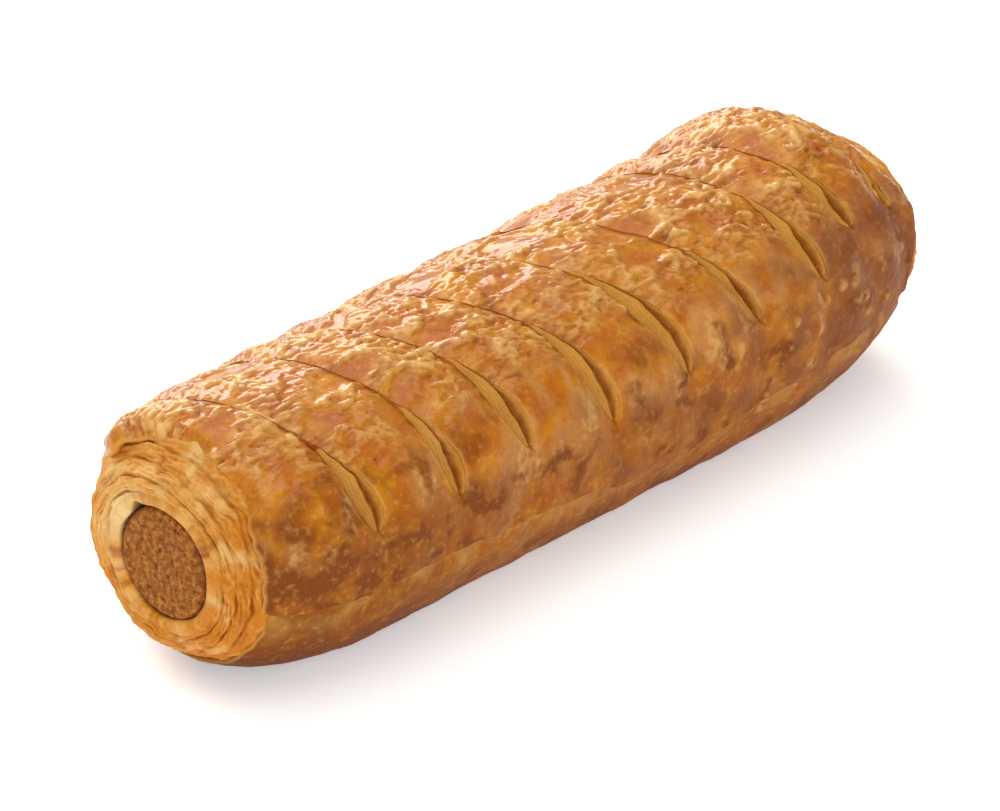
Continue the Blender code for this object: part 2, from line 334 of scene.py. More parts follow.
@dataclass(frozen=True)
class Slash:
    """One slash: where it crosses the crest, how far it leans at the flanks, and the angles between which it
    gapes at the front and at the back, with how wide, in millimetres and degrees."""

    x: float
    lean: float
    front: tuple[float, float]
    gape: float
    back: tuple[float, float]
    back_gape: float

    def middle(self, angle: Array) -> Array:
        """x of the slash at each angle: it leans with the sine of the angle, and straightens underneath."""
        return self.x + self.lean * np.sin(np.radians(angle)) * smooth(150, 90, np.abs(angle))

    def opening(self, angle: Array) -> tuple[Array, Array]:
        """A leaf shape: the sine of the squared share of the way between its tips, raised to a power.

        Args:
            angle: round the roll, in degrees.

        Returns:
            How far it gapes in front and at the back, each as a share of its greatest gape.
        """
        shares = []
        for limits in (self.front, self.back):
            share = np.clip((angle - limits[0]) / (limits[1] - limits[0]), 0.0, 1.0)
            shares.append(np.sin(math.pi * share**2.0) ** 0.58)
        return shares[0], shares[1]

    def shut(self, angle: Array) -> Array:
        """0 along the slash and 1 beyond its two tips."""
        return np.where(angle > 0, smooth(0, 5, angle - self.front[1]), smooth(0, 5, self.back[1] - angle))


SLASHES = (
    Slash(-59.2, 7.2, (32, 76), 3.4, (-30, -70), 3.0),
    Slash(-42.4, 6.6, (32, 78), 3.1, (-26, -72), 3.4),
    Slash(-29.6, 9.0, (22, 73), 3.1, (-34, -76), 2.8),
    Slash(-15.0, 11.6, (26, 77), 3.7, (-28, -68), 3.6),
    Slash(0.8, 12.6, (12, 72), 3.8, (-24, -74), 3.2),
    Slash(17.0, 12.6, (28, 69), 2.3, (-31, -73), 3.8),
    Slash(37.6, 6.8, (18, 66), 3.1, (-30, -66), 2.7),
    Slash(47.6, 7.6, (14, 53), 2.7, (-36, -74), 3.3),
    Slash(61.2, 4.4, (26, 54), 1.3, (-28, -62), 2.4),
)


# ---------------- meshes


@dataclass
class Sheet:
    """A grid of points with values at each, closed round the roll in its rows. With poles, the first and the
    last column are each one point."""

    points: Array
    marks: dict[str, Array] = field(default_factory=dict)
    poles: bool = False

    def normals(self) -> Array:
        """Adds up the cross products of the diagonals of the faces round each point.

        Returns:
            Unit normals.
        """
        grid = self.points
        ahead = np.roll(grid, -1, axis=0)
        faces = np.cross(ahead[:, 1:] - grid[:, :-1], ahead[:, :-1] - grid[:, 1:])
        total = np.zeros_like(grid)
        for part in (faces, np.roll(faces, 1, axis=0)):
            total[:, 1:] += part
            total[:, :-1] += part
        if self.poles:
            total[:, 0], total[:, -1] = total[:, 0].sum(axis=0), total[:, -1].sum(axis=0)
        size = np.linalg.norm(total, axis=-1, keepdims=True)
        return total / np.maximum(size, 1e-12)

    def piece(
        self, name: str, finish: bpy.types.Material, start: int = 0, stop: int | None = None
    ) -> bpy.types.Object:
        """Makes a mesh object of the columns from start to stop.

        Args:
            name: the piece's name.
            finish: its material.
            start: the first column.
            stop: one past the last column.

        Returns:
            The object, with its marks as point attributes and the whole sheet's normals.
        """
        stop = self.points.shape[1] if stop is None else stop
        shape = (self.points.shape[0], stop - start)
        index = np.arange(shape[0] * shape[1]).reshape(shape)
        keep = np.arange(index.size)
        if self.poles:
            index[:, 0], index[:, -1] = index[0, 0], index[0, -1]
            keep = np.unique(index)
            index = np.searchsorted(keep, index)
        ahead = np.roll(index, -1, axis=0)
        faces = np.stack([index[:, :-1], index[:, 1:], ahead[:, 1:], ahead[:, :-1]], axis=-1)
        tips = np.zeros((0, 3), dtype=int)
        if self.poles:
            tips = np.concatenate([faces[:, 0, [0, 1, 2]], faces[:, -1, [0, 1, 3]]])
            faces = faces[:, 1:-1]
        faces = faces.reshape(-1, 4)
        corners = np.concatenate([faces.ravel(), tips.ravel()])
        sizes = np.concatenate([np.full(len(faces), 4), np.full(len(tips), 3)])
        starts = np.concatenate([[0], np.cumsum(sizes)[:-1]])
        mesh = bpy.data.meshes.new(name)
        mesh.vertices.add(len(keep))
        grid = self.points[:, start:stop].reshape(-1, 3)[keep]
        mesh.vertices.foreach_set("co", (grid * MM).astype(np.float32).ravel())
        mesh.loops.add(len(corners))
        mesh.loops.foreach_set("vertex_index", corners.astype(np.int32))
        mesh.polygons.add(len(starts))
        mesh.polygons.foreach_set("loop_start", starts.astype(np.int32))
        mesh.update(calc_edges=True)
        mesh.polygons.foreach_set("use_smooth", np.ones(len(starts), dtype=bool))
        for key, values in self.marks.items():
            layer = mesh.attributes.new(key, "FLOAT", "POINT")
            layer.data.foreach_set("value", values[:, start:stop].reshape(-1)[keep].astype(np.float32))
        normals = self.normals()[:, start:stop].reshape(-1, 3)[keep]
        mesh.normals_split_custom_set_from_vertices(normals.tolist())
        mesh.materials.append(finish)
        piece = bpy.data.objects.new(name, mesh)
        bpy.context.scene.collection.objects.link(piece)
        return piece


# ---------------- finishes


def tone(red: int, green: int, blue: int) -> Colour:
    """Turns a colour given from 0 to 255 into the linear values that the shader takes.

    Args:
        red: its red.
        green: its green.
        blue: its blue.

    Returns:
        Red, green, blue and a full opacity.
    """
    parts = [value / 255.0 for value in (red, green, blue)]
    linear = [part / 12.92 if part <= 0.04045 else ((part + 0.055) / 1.055) ** 2.4 for part in parts]
    return (*linear, 1.0)


class Recipe:
    """A small helper that adds and links the nodes of one material."""

    def __init__(self, name: str) -> None:
        """Starts a material with only its shader and output.

        Args:
            name: the material's name.
        """
        self.material = bpy.data.materials.new(name)
        self.material.use_nodes = True
        self.nodes = self.material.node_tree.nodes
        self.links = self.material.node_tree.links
        self.shader = self.nodes["Principled BSDF"]
        self.place = self.nodes.new("ShaderNodeTexCoord").outputs["Object"]

    def wire(self, value: Feed, socket: bpy.types.NodeSocket) -> None:
        """Links a value that is an output, or sets one that is not.

        Args:
            value: what to feed in.
            socket: the input.
        """
        if isinstance(value, bpy.types.NodeSocket):
            self.links.new(value, socket)
        else:
            socket.default_value = value

    def mark(self, name: str) -> bpy.types.NodeSocket:
        """Reads one of the piece's point attributes.

        Args:
            name: the attribute.

        Returns:
            Its value's socket.
        """
        node = self.nodes.new("ShaderNodeAttribute")
        node.attribute_name = name
        return node.outputs["Fac"]

    def noise(self, size: float, detail: float = 3.0, rough: float = 0.55) -> bpy.types.NodeSocket:
        """Noise with lumps of a size in millimetres.

        Args:
            size: the largest lump.
            detail: how many smaller sizes follow.
            rough: strength of each next size.

        Returns:
            The socket of its value, from 0 to 1.
        """
        node = self.nodes.new("ShaderNodeTexNoise")
        node.inputs["Scale"].default_value = 1.0 / (size * MM)
        node.inputs["Detail"].default_value = detail
        node.inputs["Roughness"].default_value = rough
        self.links.new(self.place, node.inputs["Vector"])
        return node.outputs["Fac"]

    def span(
        self, value: Feed, low: float, high: float, start: float = 0.0, stop: float = 1.0
    ) -> bpy.types.NodeSocket:
        """Maps a run of values on another, and clamps it.

        Args:
            value: what is mapped.
            low: where its run begins.
            high: where its run ends.
            start: what low becomes.
            stop: what high becomes.

        Returns:
            The mapped value's socket.
        """
        node = self.nodes.new("ShaderNodeMapRange")
        self.wire(value, node.inputs["Value"])
        for name, number in (("From Min", low), ("From Max", high), ("To Min", start), ("To Max", stop)):
            node.inputs[name].default_value = number
        return node.outputs["Result"]

    def sum(self, kind: str, first: Feed, second: Feed) -> bpy.types.NodeSocket:
        """Puts two values together.

        Args:
            kind: the Math node's operation.
            first: its first value.
            second: its second value.

        Returns:
            The result's socket.
        """
        node = self.nodes.new("ShaderNodeMath")
        node.operation = kind
        self.wire(first, node.inputs[0])
        self.wire(second, node.inputs[1])
        return node.outputs[0]

    def ragged(self, name: str, noise: Feed, spread: float, low: float) -> bpy.types.NodeSocket:
        """A mark with an edge made ragged by noise, which adds up to spread either way.

        Args:
            name: the mark.
            noise: what makes it ragged.
            spread: how far; a negative spread takes the noise away.
            low: what counts as none of the mark.

        Returns:
            The share's socket, from 0 to 1.
        """
        shaken = self.span(noise, 0.3, 0.7, -spread, spread)
        return self.span(self.sum("ADD", self.mark(name), shaken), low, 1.0)

    def blend(self, share: Feed, first: Feed, second: Feed, kind: str = "MIX") -> bpy.types.NodeSocket:
        """Blends two colours.

        Args:
            share: how much of the second.
            first: the first colour.
            second: the second colour.
            kind: the Mix node's way of blending.

        Returns:
            The blended colour's socket.
        """
        node = self.nodes.new("ShaderNodeMix")
        node.data_type = "RGBA"
        node.blend_type = kind
        self.wire(share, node.inputs["Factor"])
        self.wire(first, node.inputs[6])
        self.wire(second, node.inputs[7])
        return node.outputs[2]

    def finish(
        self, colour: Feed, rough: Feed, shine: float, height: Feed, depth: float, strength: float
    ) -> bpy.types.Material:
        """Feeds the shader.

        Args:
            colour: the base colour.
            rough: the roughness.
            shine: the plain specular level.
            height: what stands up in the bump.
            depth: how deep the bump is, in millimetres.
            strength: how strongly it shows.

        Returns:
            The material.
        """
        node = self.nodes.new("ShaderNodeBump")
        node.inputs["Strength"].default_value = strength
        node.inputs["Distance"].default_value = depth * MM
        self.wire(height, node.inputs["Height"])
        self.wire(colour, self.shader.inputs["Base Color"])
        self.wire(rough, self.shader.inputs["Roughness"])
        self.wire(node.outputs["Normal"], self.shader.inputs["Normal"])
        self.shader.inputs["Specular IOR Level"].default_value = shine
        return self.material


@dataclass(frozen=True)
class GlazedCrust:
    """Egg-glazed puff pastry: amber where the glaze lies, browner in patches and towards the bottom, with a
    painted highlight on the ridges of the top and painted shade between its flakes, in the slashes and under
    the seam's edge.
    """

    tan: Colour = tone(206, 138, 70)
    amber: Colour = tone(190, 98, 0)
    honey: Colour = tone(216, 138, 0)
    # brown is laid in patches and towards the bottom, and also as painted shade between the top's flakes and
    # in the slashes
    brown_and_shade: Colour = tone(130, 64, 2)
    dusk: Colour = tone(146, 84, 46)
    # light is laid on the crust as a painted highlight on the top's ridges and rims, and as paler blisters
    # and streaks on the front shoulder
    light: Colour = tone(246, 198, 116)
    pale: Colour = tone(228, 168, 78)
    # char is laid along the bottom, and also as a painted shadow line under the seam's lapping edge
    char_and_shade: Colour = tone(70, 32, 6)

    rough: tuple[float, float] = (0.65, 0.4)
    coat: float = 0.6
    coat_rough: float = 0.10

    def material(self) -> bpy.types.Material:
        """Base colour from the sheet's marks, broken up by fine noise, under a coat where the glaze lies.

        Returns:
            The material.
        """
        recipe = Recipe("glazed_crust")
        fine = recipe.noise(1.1, 4.0)
        coarse = recipe.noise(4.5, 4.0)
        speck = recipe.noise(0.45, 2.0)
        warm = recipe.blend(recipe.span(coarse, 0.38, 0.66), self.amber, self.honey)
        colour = recipe.blend(recipe.ragged("amber", fine, 0.3, 0.0), self.tan, warm)
        ragged = (("dusk", 0.15, self.dusk), ("brown_and_shade", -0.18, self.brown_and_shade), ("light", 0.2, self.light))
        for name, spread, paint in ragged:
            colour = recipe.blend(recipe.ragged(name, fine, spread, 0.05), colour, paint)
        for name, paint in (("pale", self.pale), ("char_and_shade", self.char_and_shade)):
            colour = recipe.blend(recipe.mark(name), colour, paint)
        colour = recipe.blend(1.0, colour, recipe.span(speck, 0.25, 0.75, 0.90, 1.08), "MULTIPLY")
        glaze = recipe.mark("glaze")
        recipe.wire(recipe.span(glaze, 0.0, 1.0, 0.0, self.coat), recipe.shader.inputs["Coat Weight"])
        recipe.shader.inputs["Coat Roughness"].default_value = self.coat_rough
        height = recipe.sum("ADD", fine, recipe.sum("MULTIPLY", speck, 0.4))
        return recipe.finish(colour, recipe.span(glaze, 0.0, 1.0, *self.rough), 0.15, height, 0.22, 0.7)


@dataclass(frozen=True)
class BakedLayers:
    """The rolled dough at the ends: matt and paler, brown in spots, with painted shade in the grooves between
    its layers and on the wall of the hole round the filling.
    """

    pale: Colour = tone(228, 168, 84)
    gold: Colour = tone(206, 124, 18)
    cream: Colour = tone(240, 208, 142)
    # brown is laid in spots and as painted shade in the grooves between wraps; char as painted shade on the
    # hole's wall and in grooves, and along the bottom edge
    brown_and_shade: Colour = tone(150, 76, 8)
    char_and_shade: Colour = tone(70, 34, 8)

    def material(self) -> bpy.types.Material:
        """Base colour from the marks, with a fine speckle.

        Returns:
            The material.
        """
        recipe = Recipe("baked_layers")
        fine = recipe.noise(0.9, 4.0)
        speck = recipe.noise(0.4, 2.0)
        colour = recipe.blend(recipe.ragged("gold", fine, 0.25, 0.0), self.pale, self.gold)
        for name, paint in (("cream", self.cream), ("brown_and_shade", self.brown_and_shade), ("char_and_shade", self.char_and_shade)):
            colour = recipe.blend(recipe.mark(name), colour, paint)
        colour = recipe.blend(1.0, colour, recipe.span(speck, 0.25, 0.75, 0.9, 1.07), "MULTIPLY")
        height = recipe.sum("ADD", fine, recipe.sum("MULTIPLY", speck, 0.5))
        return recipe.finish(colour, 0.6, 0.2, height, 0.14, 0.6)


@dataclass(frozen=True)
class SausageMeat:
    """Fine-grained cooked sausage meat."""

    body: Colour = tone(154, 86, 26)
    light: Colour = tone(196, 132, 62)
    dark: Colour = tone(78, 36, 8)

    def material(self) -> bpy.types.Material:
        """A grain of lighter fat and darker meat over larger lumps, darker at the rim.

        Returns:
            The material.
        """
        recipe = Recipe("sausage_meat")
        grain = recipe.noise(0.85, 5.0, 0.68)
        lumps = recipe.noise(2.4)
        colour = recipe.blend(recipe.span(grain, 0.48, 0.66), self.body, self.light)
        colour = recipe.blend(recipe.span(grain, 0.46, 0.32), colour, self.dark)
        colour = recipe.blend(1.0, colour, recipe.span(lumps, 0.3, 0.7, 0.86, 1.1), "MULTIPLY")
        colour = recipe.blend(recipe.mark("rim"), colour, self.dark)
        return recipe.finish(colour, 0.7, 0.15, grain, 0.25, 0.8)


# ---------------- the crust


@dataclass
class CrustSheet:
    """The outer sheet of glazed pastry: panels between slashes, the slashes' insides, and the seam. Edges,
    depths and lifts are in millimetres, turns and seam_at in degrees."""

    form: RollForm
    pitch: float = 0.27
    fine_turn: float = 0.64
    coarse_turn: float = 2.4
    under_angle: float = 126.0
    slash_columns: int = 26
    cut_depth: float = 1.5
    crease_half: float = 0.30
    crease_depth: float = 0.8
    tip_half: float = 1.3
    pillow: float = 1.4
    lap_lift: float = 0.8
    near_edge: float = -69.9
    far_edge: float = 68.6
    seam_at: float = 102.0
    seam_step: float = 0.9
    rib_height: float = 0.22
    ribs: float = 5.0
    flap_fade: float = 4.5
    lip_width: float = 0.45
    pieces: int = 4

    def seam_angle(self, x: Array) -> Array:
        """The seam's angle at x: steady, swinging lower near the middle, with a torn edge's small waves."""
        waves = 1.1 * np.sin(x / 5.3) + 0.7 * np.sin(x / 2.1 + 1.0) + 0.45 * np.sin(x / 0.9 + 2.0)
        return self.seam_at + 13.0 * bell(x, 10.0, 22.0) + waves

    def seam_strength(self, x: Array) -> Array:
        """How open the seam is at x: all but closed where it swings lowest."""
        return 1.0 - 0.75 * bell(x, 12.0, 12.0)

    def rows(self) -> tuple[Array, Array]:
        """The rows' angles, and for each row its lift where the seam's profile crosses it.

        Returns:
            Angles from -180 up, for a seam at seam_at, and each row's share of the seam's step.
        """
        fine = self.fine_turn
        above = np.arange(-self.under_angle, self.seam_at - 1.3, fine)
        lip = self.seam_at + np.array([-0.9, -0.45, -0.12, 0.0, -0.1, -0.7, -1.0, -0.2, 0.7, 1.5])
        drop = np.array([0.0, 0.02, 0.12, 0.35, 0.62, 0.85, 1.1, 1.2, 1.1, 1.0])
        below = np.arange(self.seam_at + 2.1, self.under_angle, fine)
        last = 360.0 - self.under_angle - 0.5 * self.coarse_turn
        coarse = np.arange(self.under_angle, last, self.coarse_turn)
        angles = np.concatenate([above, lip, below, coarse])
        fade = 1.0 - smooth(0.0, 30.0, np.concatenate([below, coarse]) - self.seam_at)
        drops = np.concatenate([np.zeros(len(above)), drop, fade])
        return np.where(angles > 180.0, angles - 360.0, angles), drops

    def near_rim(self, angle: Array) -> Array:
        """A torn line: sines of the turn, with a tongue over the flap and a notch at the back.

        Args:
            angle: round the roll, in degrees.

        Returns:
            x of the crust's near edge.
        """
        turn = np.radians(angle)
        waves = 0.4 * np.sin(turn * 4 + 0.4) + 0.25 * np.sin(turn * 9 + 2.0) + 0.12 * np.sin(turn * 31 + 1.0)
        tongue = 2.0 * bell(angle, -2, 42) - 1.6 * bell(angle, -42, 11)
        notch = 2.6 * bell(angle, -79, 6) - 0.8 * bell(angle, 95, 35)
        return self.near_edge + waves + (tongue + notch)

    def far_rim(self, angle: Array) -> Array:
        """x of the crust's far edge."""
        waves = 0.5 * np.sin(np.radians(angle) * 7 + 0.5) + 0.3 * np.sin(np.radians(angle) * 19)
        return self.far_edge + waves + 1.2 * bell(angle, 50, 40) - 1.5 * bell(angle, 100, 12)

    def slash_profile(self, slash: Slash, angle: Array, share: Array, wander: Array) -> dict[str, Array]:
        """The section across a slash, carried along it: down under the left lip, over the floor, up a ribbed
        slope of layers and out from under the right lip. In the lower part the floor is wide and flat.

        Args:
            slash: which slash.
            angle: each row's angle, as a column.
            share: 0 at the left lip and 1 at the right lip, as a row.
            wander: each row's small sideways shift.

        Returns:
            Grids of x, lift, how far inside the slash, how much painted shade lies in its grooves and how
            high on a rib.
        """
        front, back = slash.opening(angle)
        shut = slash.shut(angle)
        open_in = np.maximum(front, back)
        half = self.crease_half + (front * slash.gape + back * slash.back_gape) / 2
        half = mix(half, self.tip_half, shut)
        depth = (self.crease_depth + self.cut_depth * open_in) * (1 - shut)
        stations = (0.0, 0.08, 0.16, 0.28, 0.72, 0.84, 0.93, 1.0)
        across = np.interp(share, stations, (-1.0, -1.04, -0.92, -0.66, 0.50, 0.86, 0.90, 1.0))
        slope = np.interp(share, stations, (0.0, -0.55, -1.0, -0.92, -0.24, -0.62, -0.14, 0.03))
        floor = np.interp(share, stations, (0.0, -0.55, -1.0, -1.0, -0.80, -0.95, -0.15, 0.03))
        low = (angle - slash.front[0]) / (slash.front[1] - slash.front[0])
        lower = np.where(angle > 0, smooth(0.40, 0.72, low), 0.3)
        climb = np.clip((share - 0.22) / 0.54, 0, 1)
        wave = np.sin(2 * math.pi * (self.ribs * climb + 0.012 * angle)) * np.sin(math.pi * climb) ** 0.5
        rib = wave * smooth(0.05, 0.4, open_in)
        lift = depth * mix(slope, floor, lower) + self.rib_height * rib * (1 - shut)
        x = slash.middle(angle) + wander + half * mix(across, -1.0 + 2.0 * share, shut)
        # painted shade: darker under each lip and on the floor of the lower part
        groove_shade = np.maximum(bell(share, 0.15, 0.08), bell(share, 0.85, 0.06))
        groove_shade = np.maximum(groove_shade, 0.2 * lower * smooth(0.2, 0.35, share) * smooth(0.85, 0.6, share))
        between = smooth(0.0, 0.06, share) * smooth(1.0, 0.95, share)
        inside = (1 - shut) * (0.6 + 0.4 * smooth(0, 0.12, open_in)) * between
        lap = self.lap_lift * smooth(50, 8, np.abs(angle)) * (1 - share) * (1 - shut)
        grids = {"x": x, "lift": lift + lap, "inside": inside, "groove_shade": groove_shade * (1 - shut)}
        grids["rib"] = 0.5 + 0.5 * rib
        return {key: value + 0.0 * x for key, value in grids.items()}

    def build(self) -> Sheet:
        """Lays the sheet: its columns follow the slashes, its rows the seam, and each point is lifted by the
        panels' swell and by the wrinkles, hollows and blisters of the baked skin.

        Returns:
            The whole sheet, with its marks.
        """
        angles, drops = self.rows()
        grain = Grain(11)
        lines = self._columns(angles, grain)
        x = lines["x"]
        middle_x = x[np.argmin(np.abs(angles - 90.0))]
        swing = (self.seam_angle(middle_x) - self.seam_at)[None, :]
        follows = np.where(angles > 60, bell(angles, self.seam_at, 28.0), 0.0)
        angle = angles[:, None] + swing * follows[:, None]
        seam = drops[:, None] * self.seam_strength(middle_x)[None, :]
        base = self.form.place(x, angle, 0.0)
        skin = Skin(grain, base, x, angle)
        free = np.clip(1.0 - lines["inside"], 0, 1) * (1.0 - 0.5 * np.clip(seam, 0, 1))
        total = lines["lift"] + skin.lift() * free - self.seam_step * seam
        points = self.form.place(x, angle, total)
        return Sheet(points, skin.marks(lines, seam))

    def _columns(self, angles: Array, grain: Grain) -> dict[str, Array]:
        """The columns from the near rim to the far rim: the tucked-in edge, then panels and slashes in turn.

        Args:
            angles: the rows' angles.
            grain: the dough's noise.

        Returns:
            Grids of x and lift, and of how far inside a slash, how near a lip, how far under the crust's
            edge, how much painted shade lies in a groove and how high on a rib each point is.
        """
        turn = angles[:, None]
        near, far = self.near_rim(turn), self.far_rim(turn)
        flap = 2.2 * bell(turn, -37, 13) + 0.5 * bell(turn, 15, 25)
        tuck = np.array([[3.6, 3.0, 1.6, 0.5, 0.05, -0.12, -0.1]])
        sink = np.array([[-3.4, -1.9, -1.45, -1.2, -0.85, -0.4, -0.1]])
        rise = np.array([[0.6, 0.72, 0.85, 0.95, 1.0, 1.0, 1.0]])
        blocks = [{"x": near + tuck, "lift": sink + flap * rise, "under": 1.0 + 0.0 * tuck}]
        left, left_lift, left_gape = near, flap, 0.0
        for number, slash in enumerate(SLASHES):
            spots = np.stack([np.full(len(angles), 7.0 * number), angles / 6.0, angles * 0.0], axis=-1)
            wander = 0.45 * grain.smooth_noise(spots)[:, None]
            share = np.linspace(0.0, 1.0, self.slash_columns)[None, :]
            cut = self.slash_profile(slash, turn, share, wander)
            gape = np.maximum(*slash.opening(turn))
            blocks.append(self._panel(left, cut["x"][:, :1], turn, left_lift, (left_gape, gape)))
            blocks.append(cut)
            left, left_lift, left_gape = cut["x"][:, -1:], 0.0 * turn, gape
        blocks.append(self._panel(left, far, turn, left_lift, (left_gape, None)))
        tuck = np.array([[0.1, 0.1, -0.05, -0.6, -2.0, -3.6]])
        sink = np.array([[-0.1, -0.4, -0.85, -1.2, -1.5, -3.2]])
        blocks.append({"x": far + tuck, "lift": sink + 0.0 * turn, "under": 1.0 + 0.0 * tuck})
        names = ("x", "lift", "inside", "lip", "under", "groove_shade", "rib")
        return {
            name: np.concatenate([block.get(name, 0.0) + 0.0 * block["x"] for block in blocks], axis=1)
            for name in names
        }

    def _panel(
        self,
        left: Array,
        right: Array,
        turn: Array,
        left_lift: Array,
        gapes: tuple[Array | float, Array | None],
    ) -> dict[str, Array]:
        """The columns of one panel, evenly spread from the lip on its left to the lip on its right. The panel
        swells like a pillow, and at the crest its right edge laps the next panel.

        Args:
            left: x of the lip on its left.
            right: x of the lip on its right.
            turn: each row's angle.
            left_lift: how far its left edge is raised.
            gapes: how far the slashes on its two sides gape; None on the right is the rim.

        Returns:
            Grids of x, lift and how near a lip.
        """
        count = max(int(np.median(right - left) / self.pitch), 4)
        share = (np.arange(1, count + 1) / (count + 1))[None, :]
        x = left + (right - left) * share
        swell = self.pillow * np.sin(math.pi * share) ** 0.8 * smooth(112, 50, np.abs(turn))
        lift = swell + left_lift * bell(x, left, self.flap_fade)
        lip = gapes[0] * bell(x, left, self.lip_width)
        if gapes[1] is not None:
            lift = lift + self.lap_lift * smooth(50, 8, np.abs(turn)) * smooth(0.55, 1.0, share)
            lip = np.maximum(lip, gapes[1] * bell(x, right, self.lip_width))
        return {"x": x, "lift": lift, "lip": lip}

    def make(self, finish: bpy.types.Material) -> list[bpy.types.Object]:
        """Makes the sheet's pieces, which meet along whole columns.

        Args:
            finish: their material.

        Returns:
            The pieces, from the near end on.
        """
        sheet = self.build()
        cuts = np.linspace(0, sheet.points.shape[1] - 1, self.pieces + 1).astype(int)
        return [
            sheet.piece(f"crust_{number}", finish, start, stop + 1)
            for number, (start, stop) in enumerate(zip(cuts, cuts[1:]), 1)
        ]


@dataclass
class Skin:
    """The fine relief of the baked skin and the colour marks that go with it. Sizes are in millimetres along
    the roll, across it and up; heights and depths are in millimetres."""

    grain: Grain
    base: Array
    x: Array
    angle: Array
    bend: float = 1.7
    hollow_size: Size = (13.0, 7.5, 7.5)
    large_size: Size = (4.6, 2.3, 2.3)
    small_size: Size = (1.9, 1.0, 1.0)
    fold_size: Size = (6.0, 2.8, 2.8)
    patch_size: Size = (10.0, 7.0, 7.0)
    streak_size: Size = (3.2, 7.0, 7.0)
    blister_size: Size = 3.4
    large_height: float = 0.40
    small_height: float = 0.38
    fold_height: float = 0.42
    hollow_depth: float = 0.30
    rim_height: float = 0.10
    dimple_height: float = 0.25
    blister_height: float = 0.42
    grit_height: float = 0.03
    top_sink: float = 1.1

    def __post_init__(self) -> None:
        """Works out the fields that both the relief and the colours read: the flaky top, whose limits wander
        round the roll, its hollows with their rims, the relief itself, and the blisters low on the front."""
        grain, base = self.grain, self.base
        drift = np.stack([grain.clouds(base + shift, 7.0, 3) for shift in (0.0, 40.0, 80.0)], axis=-1)
        bent = base + self.bend * drift
        ragged = self.angle + 12.0 * grain.clouds(base + 7.0, 11.0, 3)
        self.top = smooth(62, 36, ragged) * smooth(-122, -86, ragged)
        near, _, label, _ = grain.cells(bent + 5.0, self.hollow_size)
        held = (label > 0.42) * self.top
        self.hollow = smooth(0.50, 0.30, near) * held
        self.rim = bell(near, 0.50, 0.08) * held
        large = grain.flakes(bent + 21.0, self.large_size)
        small = grain.flakes(bent + 57.0, self.small_size)
        fold = grain.folds(bent + 35.0, self.fold_size, 3, 2.4) - 0.28
        patchy = 0.45 + 0.55 * smooth(-0.45, 0.25, grain.clouds(base + 45.0, self.patch_size, 2))
        self.relief = self.large_height * large + self.small_height * small + self.fold_height * fold
        self.relief = self.relief * patchy
        self.dimple = grain.clouds(base + 31.0, 8.0, 3)
        self.grit = grain.clouds(bent + 90.0, 0.9, 2)
        near, _, label, _ = grain.cells(base + 13.0, self.blister_size)
        lower = smooth(62, 78, ragged) * smooth(128, 108, ragged)
        blister = smooth(0.44, 0.10, near) * (label > 0.55)
        self.blister = blister * lower * smooth(-10, 35, self.x)

    def lift(self) -> Array:
        """Flakes and folds on the top, smoothed out in the amber hollows, which lie lower inside a soft rim;
        shallow dimples and scattered blisters on the flanks.

        Returns:
            Height in millimetres.
        """
        rough = self.relief * (1.0 - 0.8 * self.hollow) * (0.10 + 0.90 * self.top)
        wave = self.dimple_height * self.dimple + self.blister_height * self.blister
        wave = wave + self.grit_height * self.grit - self.top_sink * self.top
        return rough - self.hollow_depth * self.hollow + self.rim_height * self.rim + wave

    def marks(self, lines: dict[str, Array], seam: Array) -> dict[str, Array]:
        """The colour marks: amber, brown, dusk, light, pale, char and glaze, each from 0 to 1. Each is a sum
        of noise fields, of the relief, and of smooth steps of the angle and of x. The light mark is partly a
        painted highlight on the top's ridges and rims; the brown mark holds painted shade between the top's
        flakes and in the slashes, and the char mark a painted shadow line under the seam's lapping edge.

        Args:
            lines: the columns' grids.
            seam: how far under the seam's lapping edge.

        Returns:
            One grid for each mark.
        """
        grain, base, angle, x = self.grain, self.base, self.angle, self.x
        inside, under, groove_shade, rib = lines["inside"], lines["under"], lines["groove_shade"], lines["rib"]
        streak = grain.clouds(base + 3.0, self.streak_size, 4)
        patch = grain.clouds(base + 61.0, 8.0, 3)
        soft = grain.clouds(base + 99.0, 4.5, 3)
        mauve = grain.clouds(base + 77.0, 6.5, 3)
        flank = 1.0 - self.top
        bottom = smooth(112, 150, np.abs(angle))
        gaping = smooth(0.62, 0.95, inside)

        amber = 0.56 + 1.5 * streak + patch - 0.30 * smooth(48, 64, angle) + 0.65 * smooth(76, 90, angle)
        amber = amber + 0.5 * smooth(-30, -60, x)
        amber = mix(amber, 1.0 + 0.5 * self.hollow - 0.7 * self.relief + 0.4 * patch, self.top)

        # painted highlight: the light mark is paler on the ridges and rims of the top and fades towards the
        # front, where the key lamp no longer catches them; blisters and the front shoulder's streaks are
        # paler too
        ridges = smooth(-0.02, 0.62, self.relief + 0.12 * streak) * smooth(62, 24, angle)
        light = 0.9 * self.top * (1 - 0.85 * self.hollow) * ridges + 0.1 * self.rim + 0.3 * self.blister
        shoulder = smooth(44, 60, angle) * smooth(90, 74, angle)
        light = light + 0.30 * flank * smooth(0.1, 0.7, -streak) * shoulder

        dusk = flank * (0.20 + 0.9 * mauve) * (0.45 + 0.55 * smooth(-45, 10, x))
        dusk = (dusk + 0.85 * smooth(25, 60, x) * smooth(28, 55, angle)) * (1 - bottom)

        brown_and_shade = smooth(-0.05, 0.75, soft + 0.35 * bell(x, -64, 9) * flank) * (0.30 + 0.30 * flank)
        # painted shade in the low parts between the top's flakes
        brown_and_shade = brown_and_shade + 0.8 * smooth(-0.05, -0.45, self.relief) * self.top * (1 - self.hollow)
        brown_and_shade = brown_and_shade + flank * (0.46 * smooth(62, 88, angle) + 0.24 * smooth(-20, -50, x))
